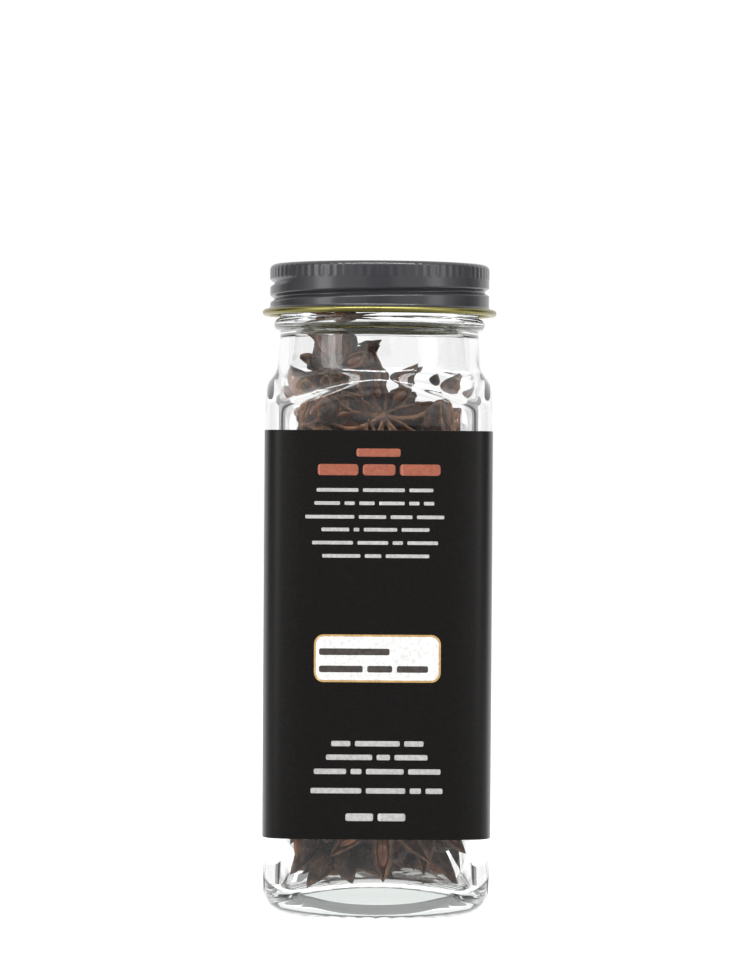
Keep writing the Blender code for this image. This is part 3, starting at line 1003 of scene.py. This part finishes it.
def make_world():
    """White wherever the camera, a reflection or the glass looks, and a plain soft fill otherwise."""
    world = bpy.data.worlds.new("studio")
    bpy.context.scene.world = world
    world.use_nodes = True
    nodes, links = world.node_tree.nodes, world.node_tree.links
    fill = nodes["Background"]
    fill.inputs["Color"].default_value = (1, 1, 1, 1)
    path = nodes.new("ShaderNodeLightPath")
    total = path.outputs["Is Camera Ray"]
    for name in ("Is Glossy Ray", "Is Transmission Ray"):
        add = nodes.new("ShaderNodeMath")
        add.operation = "ADD"
        add.use_clamp = True
        links.new(total, add.inputs[0])
        links.new(path.outputs[name], add.inputs[1])
        total = add.outputs[0]
    level = nodes.new("ShaderNodeMapRange")
    level.inputs["To Min"].default_value = 0.42
    level.inputs["To Max"].default_value = 1.0
    links.new(total, level.inputs["Value"])
    links.new(level.outputs["Result"], fill.inputs["Strength"])


def make_lamp(name, place, target, width, height, power):
    light = bpy.data.lights.new(name, "AREA")
    light.shape = "RECTANGLE"
    light.size, light.size_y = width, height
    light.energy = power
    lamp = bpy.data.objects.new(name, light)
    bpy.context.scene.collection.objects.link(lamp)
    lamp.location = place
    lamp.rotation_mode = "QUATERNION"
    lamp.rotation_quaternion = (Vector(target) - Vector(place)).to_track_quat("-Z", "Y")
    return lamp


def make_card(name, corners, level):
    """A card out of view that gives reflections and the glass's edges something darker to show."""
    mesh = bpy.data.meshes.new(name)
    mesh.from_pydata(corners, [], [(0, 1, 2, 3)])
    card = bpy.data.objects.new(name, mesh)
    bpy.context.scene.collection.objects.link(card)
    material, _, _, shader = new_material(name)
    shader.inputs["Base Color"].default_value = (0.01, 0.01, 0.01, 1)
    shader.inputs["Specular IOR Level"].default_value = 0.0
    shader.inputs["Emission Color"].default_value = (1, 1, 1, 1)
    shader.inputs["Emission Strength"].default_value = level
    mesh.materials.append(material)
    card.visible_camera = False
    card.visible_diffuse = False
    card.visible_shadow = False
    return card


def make_cards():
    """Greys for the jar's faces to mirror, in front of it, and for its edges and heel to show."""
    half, y = 0.3, -1.3
    fronts = (("low", 0.0, 0.113, 0.15), ("pale", 0.113, 0.2, 0.7), ("high", 0.2, 0.42, 0.15))
    for name, low, high, level in fronts:
        corners = [(-half, y, low), (half, y, low), (half, y, high), (-half, y, high)]
        make_card(name + "_card", corners, level)
    top = 0.9
    sides = (("card", 0.9, -0.1, 0.7, 0.36), ("strip", 0.89, 0.2, 0.38, 0.08))
    for side, sign in (("left", -1), ("right", 1)):
        for kind, out, near, far, level in sides:
            x = sign * out
            corners = [(x, near, 0.0), (x, far, 0.0), (x, far, top), (x, near, top)]
            make_card(side + "_" + kind, corners, level)
    z = 0.0003
    mats = (("back", 0.16, 0.024, 0.10, 0.34), ("front", 0.4, -1.2, -0.026, 0.5))
    for name, half, near, far, level in mats:
        corners = [(-half, near, z), (half, near, z), (half, far, z), (-half, far, z)]
        make_card(name + "_mat", corners, level)


def make_camera():
    aside, distance, height, lens, lean = -0.0007, 0.95, 0.087, 176.0, 0.38
    data = bpy.data.cameras.new("camera")
    data.lens = lens
    data.sensor_width = 36
    camera = bpy.data.objects.new("camera", data)
    bpy.context.scene.collection.objects.link(camera)
    camera.location = (aside, -distance, height)
    camera.rotation_euler = (math.radians(90), -math.radians(lean), 0)
    bpy.context.scene.camera = camera


def main():
    make_jar(glass_material())
    make_cap(lacquer_material(), gold_material())
    make_label(paper_material())
    make_print()
    make_pods(pod_material(), seed_material())
    make_floor()
    make_world()
    make_cards()
    make_lamp("top_box", (0.0, -0.42, 0.78), (0, 0, 0.09), 1.0, 0.14, 8.0)
    make_lamp("left_box", (-1.1, -0.62, 0.5), (0, 0, 0.07), 0.45, 0.9, 4.0)
    make_lamp("right_box", (1.1, -0.62, 0.5), (0, 0, 0.07), 0.45, 0.9, 2.4)
    make_camera()
    bpy.context.scene.view_settings.view_transform = "Standard"


main()
